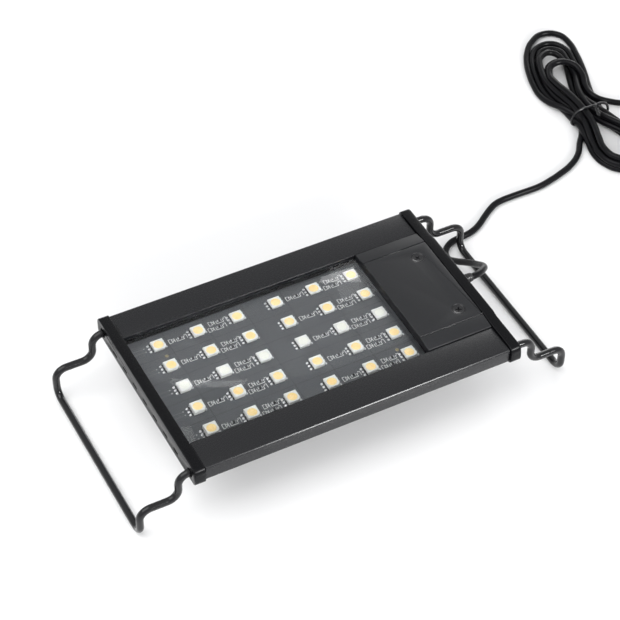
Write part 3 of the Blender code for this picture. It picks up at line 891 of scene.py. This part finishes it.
@dataclass
class SupplyCord:
    """The low-voltage cord: relief sleeve, lead, tied hank, and the connector at its far end."""

    diameter: float = 2.8 * MM
    tie_radius: float = 0.6 * MM
    tie_y: float = 83.5 * MM
    exit_point: Point = (67.7 * MM, 1.5 * MM, 25.0 * MM)
    grip: float = 4.5 * MM
    grip_long: float = 30.0 * MM
    grooves: int = 4
    first_groove: float = 15.0 * MM
    groove_pitch: float = 2.6 * MM
    groove_deep: float = 0.3 * MM

    def build(self) -> None:
        route = [tuple(c * MM for c in point) for point in LEAD_MM + HANK_MM]
        cord = tube("supply_cord", route, self.diameter / 2, detail=5, steps=5)
        dress(cord, SHEATH)
        enter(cord, "lamp", "cord_sheath", "cord_lead", "cord_hank", "cord_tail")
        pieces = [self.relief(), self.tie(), *self.connector()]

    @staticmethod
    def length(route: Sequence[Point]) -> float:
        """The route's length in metres.

        Args:
            route: points along the cord.

        Returns:
            The length, with a hundredth for the curves between points, to a centimetre.
        """
        straight = sum((Vector(b) - Vector(a)).length for a, b in zip(route, route[1:]))
        return round(straight * 1.01, 2)

    def relief(self) -> bpy.types.Object:
        """Turns the ribbed relief sleeve round the lead.

        Returns:
            The sleeve.
        """
        low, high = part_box("strain_relief")
        x, tip, root = low.x, high.x, self.exit_point[0]
        profile = [(0.0, 0.0), (0.0, 1.7 * MM), (root - x, 2.05 * MM), (root - x + 0.2 * MM, 2.1 * MM)]
        ribs = 4
        pitch = (tip - root - 0.8 * MM) / ribs
        for rib in range(ribs):
            start = root - x + 0.4 * MM + rib * pitch
            radius = (2.08 - 0.07 * rib) * MM
            waist = radius - 0.22 * MM
            profile += [(start, radius), (start + pitch * 0.55, radius), (start + pitch * 0.65, waist),
                        (start + pitch * 0.9, waist)]
        profile += [(tip - x - 0.25 * MM, 1.8 * MM), (tip - x, 1.62 * MM), (tip - x, 0.0)]
        sleeve = turned("relief_sleeve", profile, (x, self.exit_point[1], self.exit_point[2]), (1, 0, 0))
        dress(sleeve, RELIEF_RUBBER)
        return enter(sleeve, "lamp", "cord_sheath", "strain_relief")

    def tie(self) -> bpy.types.Object:
        """Wraps the tie round the waist of the hank, with its twisted ends on top.

        Returns:
            The tie.
        """
        low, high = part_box("cord_tie")
        r = self.tie_radius
        left, right, bottom, top = low.x + r, high.x - r, low.z + r, high.z - r
        middle, level = (left + right) / 2, (bottom + top) / 2
        corner, lift, shoulder = 2.2 * MM, 0.45 * MM, 0.8 * MM
        outline = ((left + corner, bottom + lift), (middle, bottom + 0.1 * MM),
                   (right - corner, bottom + lift), (right, bottom + corner), (right, level),
                   (right - corner, top - shoulder), (middle, top), (left + corner, top - 0.5 * MM),
                   (left, level), (left, bottom + corner))
        loop = [(x, self.tie_y, z) for x, z in outline]
        band = to_mesh(tube("tie_loop", loop, r, closed=True, detail=3))
        twist, stride = 1.1, 0.9 * MM
        ends = []
        for phase in (0.0, math.pi):
            points = []
            for step in range(9):
                turn, reach = phase + step * twist, step * stride
                points.append((middle + 2 * MM - reach * 0.3 + 0.5 * MM * math.cos(turn), self.tie_y - reach,
                               top + 0.1 * MM + 0.45 * MM * math.sin(turn) - reach * 0.05))
            ends.append(to_mesh(tube("tie_end", points, r * 0.8, detail=3, steps=4)))
        made = joined("hank_tie", [band, *ends])
        dress(made, WIRE_PAINT)
        return enter(made, "lamp", "cord_sheath", "cord_tie")

    def connector(self) -> list[bpy.types.Object]:
        """Turns the moulded connector and its barrel.

        Returns:
            The body and the barrel.
        """
        low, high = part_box("connector_body")
        start = ((low.x + high.x) / 2, high.y, (low.z + high.z) / 2)
        grip, end = self.grip, self.grip_long
        profile = [(0, 0), (0, 1.9 * MM), (0.5 * MM, 2.2 * MM), (9 * MM, 2.6 * MM), (10 * MM, 2.9 * MM),
                   (12 * MM, grip - 0.3 * MM), (12.8 * MM, grip)]
        for number in range(self.grooves):
            groove = self.first_groove + number * self.groove_pitch
            floor = grip - self.groove_deep
            profile += [(groove, grip), (groove + 0.2 * MM, floor), (groove + 1.2 * MM, floor),
                        (groove + 1.4 * MM, grip)]
        profile += [(end - 1.8 * MM, grip), (end - 0.8 * MM, grip - 0.1 * MM),
                    (end - 0.1 * MM, grip - 0.6 * MM), (end, grip - 0.9 * MM), (end, 0)]
        body = turned("connector_grip", profile, start, (0, -1, 0), 36)
        dress(body, RELIEF_RUBBER)
        low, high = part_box("connector_barrel")
        start = ((low.x + high.x) / 2, high.y, (low.z + high.z) / 2)
        long, wide = high.y - low.y, (high.x - low.x) / 2
        bore, deep = 1.25 * MM, 6 * MM
        profile = [(0, 0), (0, wide - 0.25 * MM), (0.3 * MM, wide), (long - 0.4 * MM, wide),
                   (long, wide - 0.35 * MM), (long, bore), (long - deep, bore), (long - deep, 0)]
        barrel = turned("connector_sleeve", profile, start, (0, -1, 0), 32)
        dress(barrel, NICKEL)
        return [enter(body, "lamp", "cord_sheath", "connector_body"),
                enter(barrel, "lamp", "nickel_plate", "connector_barrel")]


# ---------------------------------------------------------------- lamp body


@dataclass
class LampBody:
    """The extruded housing and its two moulded end caps."""

    edge: float = 0.22 * MM
    nose: float = 1.7 * MM

    def build(self) -> None:
        """Builds the housing and the caps."""
        rails = cad_copy("housing_extrusion", "housing")
        soften(rails, self.edge, 3)
        dress(rails, ANODISED)
        enter(rails, "lamp", "anodised_aluminium", "housing_extrusion")
        for side in Side:
            self.cap(side)

    def cap(self, side: Side) -> bpy.types.Object:
        """Builds one end cap: its outer rim is rounded like a bull nose.

        Args:
            side: which end.

        Returns:
            The cap.
        """
        node = f"end_cap_{side.name.lower()}"
        cap = cad_copy(node, f"{side.name.lower()}_end_cap")
        low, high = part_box(node)
        outer = low.x if side is Side.LEFT else high.x
        rim_low = high.z - 3.2 * MM

        def on_rim(a: Vector, b: Vector) -> bool:
            """Whether an edge lies on the outer face's upper rim."""
            flat = max(abs(a.x - outer), abs(b.x - outer)) < NEAR
            return flat and min(a.z, b.z) > rim_low and abs(a.z - b.z) < 1.6 * MM

        if pick_edges(cap, on_rim):
            bpy.ops.mesh.bevel(offset=self.nose, segments=6, profile=0.5, clamp_overlap=True)
        leave_edit()
        soften(cap, self.edge, 3)
        dress(cap, CAP_PLASTIC)
        return enter(cap, "lamp", "black_plastic", node)


@dataclass
class DriverLid:
    """The painted lid over the driver, and its two countersunk screws."""

    edge: float = 0.25 * MM
    screw_names: tuple[str, ...] = ("cover_screw_near", "cover_screw_far")
    recess: float = 1.15 * MM
    flat_half: float = 22.6 * MM
    seam: float = 0.3 * MM
    seam_deep: float = 0.3 * MM

    def build(self) -> None:
        """Builds the lid and its screws."""
        lid = cad_copy("driver_cover", "driver_lid")
        low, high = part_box("driver_cover")
        seams = []
        for way in (-1, 1):
            y = way * self.flat_half
            seams.append(block("seam", (low.x - MM, y - self.seam / 2, high.z - self.seam_deep),
                               (high.x + MM, y + self.seam / 2, high.z + MM)))
        cut(lid, *seams)
        soften(lid, self.edge, 3)
        dress(lid, LID_PAINT)
        enter(lid, "lamp", "painted_lid", "driver_cover")
        for node in self.screw_names:
            self.screw(node)

    def screw(self, node: str) -> bpy.types.Object:
        """Turns a screw with a cross recess.

        Args:
            node: the CAD node it stands for.

        Returns:
            The screw.
        """
        low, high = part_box(node)
        x, y = (low.x + high.x) / 2, (low.y + high.y) / 2
        head = (high.x - low.x) / 2
        tall = high.z - low.z
        core = 1.3 * MM
        profile = [(0.25 * MM, 0), (0.35 * MM, head * 0.55), (0.18 * MM, head * 0.8), (0.05 * MM, head * 0.9),
                   (0.18 * MM, head * 0.97), (0.4 * MM, head), (1.2 * MM, head * 0.86), (1.3 * MM, core),
                   (tall - 0.6 * MM, core), (tall, 0.7 * MM), (tall, 0)]
        screw = turned(node.replace("cover_", "lid_"), profile, (x, y, high.z), (0, 0, -1), 32)
        half = 0.24 * MM
        angle = 0.4 if node.endswith("far") else 1.1
        arms = []
        for turn in (angle, angle + math.pi / 2):
            arm = block("arm", (-self.recess, -half, -1.1 * MM), (self.recess, half, 0.6 * MM))
            arm.data.transform(Matrix.Translation((x, y, high.z)) @ Matrix.Rotation(turn, 4, "Z"))
            arms.append(arm)
        cut(screw, *arms)
        bpy.ops.object.shade_smooth_by_angle(angle=math.radians(35))
        dress(screw, SCREW_BLACK)
        return enter(screw, "lamp", "black_screw", node)


@dataclass
class DriverElectronics:
    """What lies under the lid, hidden in use: board, chip, inductor, capacitor and two wires."""

    finishes: dict[str, Finish] = field(default_factory=lambda: {
        "driver_board": DRIVER_MASK, "driver_chip": CHIP_BODY, "inductor": FERRITE, "capacitor": FERRITE,
        "supply_wire_positive": RED_WIRE, "supply_wire_negative": SHEATH})

    def build(self) -> None:
        """Gives each CAD node its finish."""
        for node, finish in self.finishes.items():
            dress(bpy.data.objects[node], finish)
            LOG.info("%s keeps its CAD shape in %s", node, finish.name)


# ---------------------------------------------------------------- LED board


@dataclass
class LedBoard:
    """The LED board, its packages, pads, chip resistors and printed outlines."""

    rows: int = 5
    columns: int = 6
    cool_row: int = 3
    pitch: tuple[float, float] = LED_PITCH
    package: float = 5.0 * MM
    tall: float = 1.1 * MM
    dish: float = 2.02 * MM
    clusters: dict[int, int] = field(default_factory=lambda: {1: 1, 2: 2, 4: 1, 5: 2})
    stroke_width: float = 0.24 * MM
    gold_pads: tuple[tuple[str, float, float], ...] = (
        ("gold_pad_far", -52.9 * MM, 17.1 * MM), ("gold_pad_near", 26.5 * MM, -19.1 * MM))
    top: float = field(init=False, default=0.0)
    outline: tuple[tuple[tuple[float, float], tuple[float, float]], ...] = (
        ((-3.7, -1.0), (-3.7, 1.0)), ((-3.7, 1.0), (-3.0, 1.0)), ((-3.7, -1.0), (-3.0, -1.0)),
        ((-2.5, -0.9), (-2.5, 0.9)), ((-2.5, 0.9), (-1.5, 0.0)), ((-2.5, -0.9), (-1.5, 0.0)),
        ((-1.4, -0.9), (-1.4, 0.9)), ((-0.6, -1.0), (-0.6, 0.2)), ((-0.6, -1.0), (2.3, -1.0)),
        ((2.3, -1.0), (2.3, 0.4)), ((2.9, 1.0), (3.7, 1.0)), ((3.7, 1.0), (3.7, -0.9)),
        ((2.3, 0.4), (2.9, 0.4)))

    def build(self) -> None:
        """Builds the board and everything soldered on it."""
        low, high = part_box("led_board")
        self.top = high.z
        board = cad_copy("led_board", "led_mask_board")
        soften(board, 0.12 * MM, 2)
        dress(board, BOARD_MASK)
        enter(board, "lamp", "board_mask", "led_board")
        patterns = {colour: self.led(colour) for colour in LedColour}
        for row in range(1, self.rows + 1):
            colour = LedColour.COOL if row == self.cool_row else LedColour.WARM
            for column in range(1, self.columns + 1):
                node = f"led_{row}_{column}"
                a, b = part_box(node)
                middle = Vector(((a.x + b.x) / 2, (a.y + b.y) / 2, self.top))
                made = copied(patterns[colour], f"package_{row}_{column}", middle)
                enter(made, "lamp", colour.value, node)
        for pattern in patterns.values():
            bpy.data.objects.remove(pattern)
        self.printed()
        self.pads(low, high)

    def led(self, colour: LedColour) -> bpy.types.Object:
        """Models one LED with its leads and solder, standing on the origin.

        Args:
            colour: warm or cool.

        Returns:
            The LED.
        """
        half, gap = self.package / 2, 0.1 * MM
        body = block("body", (-half, -half, gap), (half, half, self.tall + gap))
        pick_edges(body, lambda a, b: abs(a.z - b.z) > MM and a.x > 0 > a.y)
        bpy.ops.mesh.bevel(offset=0.95 * MM, segments=1)
        leave_edit()
        pick_edges(body, lambda a, b: abs(a.z - b.z) > MM and not (a.x > 0 > a.y))
        bpy.ops.mesh.bevel(offset=0.14 * MM, segments=2)
        leave_edit()
        cup = turned("cup", [(0, 0), (0, self.dish * 0.86), (0.5 * MM, self.dish * 1.06), (0.5 * MM, 0)],
                     (0, 0, self.tall + gap - 0.35 * MM), (0, 0, 1), 32)
        cut(body, cup)
        soften(body, 0.07 * MM, 2)
        dress(body, PACKAGE)
        base, rim, dish = self.tall + gap - 0.36 * MM, 0.20 * MM, self.dish
        gel = turned("gel", [(0, 0), (0, dish * 0.87), (rim, dish * 0.985), (rim + 0.05 * MM, dish * 0.8),
                             (rim + 0.08 * MM, dish * 0.45), (rim + 0.09 * MM, 0)],
                     (0, 0, base), (0, 0, 1), 32)
        dress(gel, WARM_GEL if colour is LedColour.WARM else COOL_GEL)
        parts = [body, gel]
        for y in (-1.6 * MM, 0.0, 1.6 * MM):
            lead = block("lead", (-half - 0.55 * MM, y - 0.35 * MM, 0),
                         (-half + 0.1 * MM, y + 0.35 * MM, 0.25 * MM))
            soften(lead, 0.06 * MM, 2)
            dress(lead, CHIP_BODY)
            blob = self.blob((-half - 1.1 * MM, y, 0), (0.6 * MM, 0.55 * MM, 0.4 * MM))
            shoe = self.blob((half + 0.12 * MM, y, 0.02 * MM), (0.62 * MM, 0.62 * MM, 0.5 * MM))
            parts += [lead, blob, shoe]
        return joined(f"led_pattern_{colour.name.lower()}", parts)

    @staticmethod
    def blob(middle: Point, radii: Point) -> bpy.types.Object:
        """Models a domed blob of solder.

        Args:
            middle: the middle of its foot.
            radii: its half sizes.

        Returns:
            The blob.
        """
        rings = [(0.0, 0.0), (0.0, 1.0), (0.35, 0.93), (0.65, 0.74), (0.88, 0.45), (1.0, 0.0)]
        made = turned("blob", rings, (0, 0, 0), (0, 0, 1), 14)
        made.data.transform(Matrix.Translation(middle) @ Matrix.Diagonal((*radii, 1)))
        return dress(made, SOLDER)

    def cluster(self) -> bpy.types.Object:
        """Models a diode outline beside a chip resistor on its pads, standing on the origin.

        Returns:
            The cluster.
        """
        long, wide, tall, tip = 1.6 * MM, 0.85 * MM, 0.45 * MM, 0.34 * MM
        x, y = 0.8 * MM, 0.05 * MM
        chip = block("chip", (x - long / 2 + tip, y - wide / 2, 0.05 * MM),
                     (x + long / 2 - tip, y + wide / 2, tall))
        soften(chip, 0.06 * MM, 2)
        parts = [dress(chip, CHIP_BODY)]
        for way in (-1, 1):
            inner, outer = x + way * (long / 2 - tip), x + way * (long / 2 + 0.15 * MM)
            pad = block("end", (min(inner, outer), y - wide / 2, 0),
                        (max(inner, outer), y + wide / 2, tall * 0.8))
            pick_edges(pad, lambda a, b, end=outer: (
                min(a.z, b.z) > NEAR and max(abs(a.x - end), abs(b.x - end)) < NEAR))
            bpy.ops.mesh.bevel(offset=0.2 * MM, segments=3)
            leave_edit()
            parts.append(dress(pad, SOLDER))
        parts += [self.stroke(a, b) for a, b in self.outline]
        return joined("cluster_pattern", parts)

    def stroke(self, a: tuple[float, float], b: tuple[float, float]) -> bpy.types.Object:
        """Prints a thin raised line of silkscreen with a bevelled top.

        Args:
            a: one end, in X and Y, in millimetres.
            b: the other end.

        Returns:
            The line.
        """
        start, end = Vector((*a, 0)) * MM, Vector((*b, 0)) * MM
        half, run = self.stroke_width / 2, (end - start).length / 2
        made = block("stroke", (-run - half, -half, 0.0), (run + half, half, 0.03 * MM))
        pick_faces(made, lambda face: face.normal.z > 0.9)
        bpy.ops.mesh.inset(thickness=0.02 * MM)
        leave_edit()
        turn = math.atan2(end.y - start.y, end.x - start.x)
        made.data.transform(Matrix.Translation((start + end) / 2) @ Matrix.Rotation(turn, 4, "Z"))
        return dress(made, SILKSCREEN)

    def printed(self) -> None:
        """Places the resistor clusters between the columns."""
        pattern = self.cluster()
        count = 0
        for row in range(1, self.rows + 1):
            for column, number in self.clusters.items():
                a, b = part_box(f"led_{row}_{column}")
                middle = Vector(((a.x + b.x) / 2 + self.pitch[0] / 2, (a.y + b.y) / 2, self.top))
                spread = 1.45 * MM if number == 2 else 0.0
                for way in (-1, 1)[:number]:
                    count += 1
                    shift = middle + Vector((0.7 * MM * way * (number - 1), way * spread, 0))
                    made = copied(pattern, f"chip_cluster_{row}_{column}_{count}", shift)
                    enter(made, "lamp", "board_mask")
        bpy.data.objects.remove(pattern)

    def pads(self, low: Vector, high: Vector) -> None:
        """Adds the gold test pads and the pairs of traces at the left edge.

        Args:
            low: the board's lowest corner.
            high: the board's highest corner; not used.
        """
        profile = [(0, 0), (0, 0.75 * MM), (0.04 * MM, 0.7 * MM), (0.05 * MM, 0.35 * MM),
                   (0.02 * MM, 0.3 * MM), (0.02 * MM, 0)]
        for name, x, y in self.gold_pads:
            pad = turned(name, profile, (x, y, self.top), (0, 0, 1), 24)
            dress(pad, GOLD)
            enter(pad, "lamp", "nickel_plate")
        half = 0.15 * MM
        for row in range(1, self.rows + 1):
            a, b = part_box(f"led_{row}_1")
            y = (a.y + b.y) / 2
            parts = []
            for offset, gap in ((1.0 * MM, 2.92 * MM), (-0.8 * MM, 2.8 * MM)):
                middle, end = y + offset, a.x - gap
                line = block("trace", (low.x + 0.6 * MM, middle - half, self.top),
                             (end, middle + half, self.top + 0.03 * MM))
                soften(line, 0.01 * MM, 1)
                dress(line, TRACE)
                parts += [line, self.blob((end, middle, self.top), (0.28 * MM, 0.28 * MM, 0.12 * MM))]
            enter(joined(f"edge_traces_{row}", parts), "lamp", "board_mask")


@dataclass
class ClearCover:
    """The clear sheet over the LED board."""

    edge: float = 0.15 * MM

    def build(self) -> None:
        """Builds the sheet with polished edges."""
        sheet = cad_copy("clear_cover", "clear_sheet")
        soften(sheet, self.edge, 2)
        dress(sheet, CLEAR)
        enter(sheet, "lamp", "clear_acrylic", "clear_cover")


# ---------------------------------------------------------------- brackets


@dataclass
class WireBracket:
    """One bent wire bracket that slides in the end cap's two holes."""

    side: Side
    radius: float = 1.5 * MM
    bend: float = 4.5 * MM
    leg_y: float = 39.1 * MM
    leg_z: float = 25.35 * MM
    arm_z: float = 13.9 * MM
    crossbar_x: float = 91.0 * MM
    arc_steps: int = 7
    leg_span: dict[Side, tuple[float, float]] = field(default_factory=lambda: {
        Side.LEFT: (5.0 * MM, 75.1 * MM), Side.RIGHT: (2.0 * MM, 75.7 * MM)})

    def corners(self) -> list[Vector]:
        """The wire's corner points, from one end to the other.

        Returns:
            Points of the middle of the wire, before the corners are rounded.
        """
        sign = self.side.value
        inner, step = self.leg_span[self.side]
        half = [(inner, self.leg_z), (step, self.leg_z), (step, self.arm_z),
                (self.crossbar_x, self.arm_z), (self.crossbar_x, self.radius)]
        near = [Vector((sign * x, -self.leg_y, z)) for x, z in half]
        far = [Vector((p.x, -p.y, p.z)) for p in reversed(near)]
        return near + far

    def path(self) -> list[Point]:
        """The wire's middle line with every corner rounded.

        Returns:
            Points close enough together for a smooth tube.
        """
        corners = self.corners()
        points = [corners[0]]
        for before, corner, after in zip(corners, corners[1:], corners[2:]):
            back, ahead = (before - corner).normalized(), (after - corner).normalized()
            radius = min(self.bend, 0.49 * (before - corner).length, 0.49 * (after - corner).length)
            centre = corner + (back + ahead) * radius
            for step in range(self.arc_steps + 1):
                turn = step / self.arc_steps * math.pi / 2
                points.append(centre - ahead * radius * math.cos(turn) - back * radius * math.sin(turn))
        points.append(corners[-1])
        return [tuple(point) for point in points]

    def build(self) -> None:
        """Builds the bracket."""
        name = f"{self.side.name.lower()}_bracket"
        curve = bpy.data.curves.new(name, "CURVE")
        curve.dimensions = "3D"
        curve.bevel_depth = self.radius
        curve.bevel_resolution = 6
        curve.use_fill_caps = True
        spline = curve.splines.new("POLY")
        path = self.path()
        spline.points.add(len(path) - 1)
        for knot, point in zip(spline.points, path):
            knot.co = (*point, 1)
        wire = bpy.data.objects.new(f"{name}_wire", curve)
        bpy.context.scene.collection.objects.link(wire)
        to_mesh(wire)
        dress(wire, WIRE_PAINT)
        enter(wire, name, "painted_wire", name)


def main() -> None:
    """Builds the studio and every piece of the light, in order."""
    logging.basicConfig(level=logging.INFO, format="%(message)s")
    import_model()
    Studio().build()
    SupplyCord().build()
    LampBody().build()
    DriverLid().build()
    DriverElectronics().build()
    LedBoard().build()
    ClearCover().build()
    for side in Side:
        WireBracket(side).build()
    deselect()


if __name__ == "__main__":
    main()
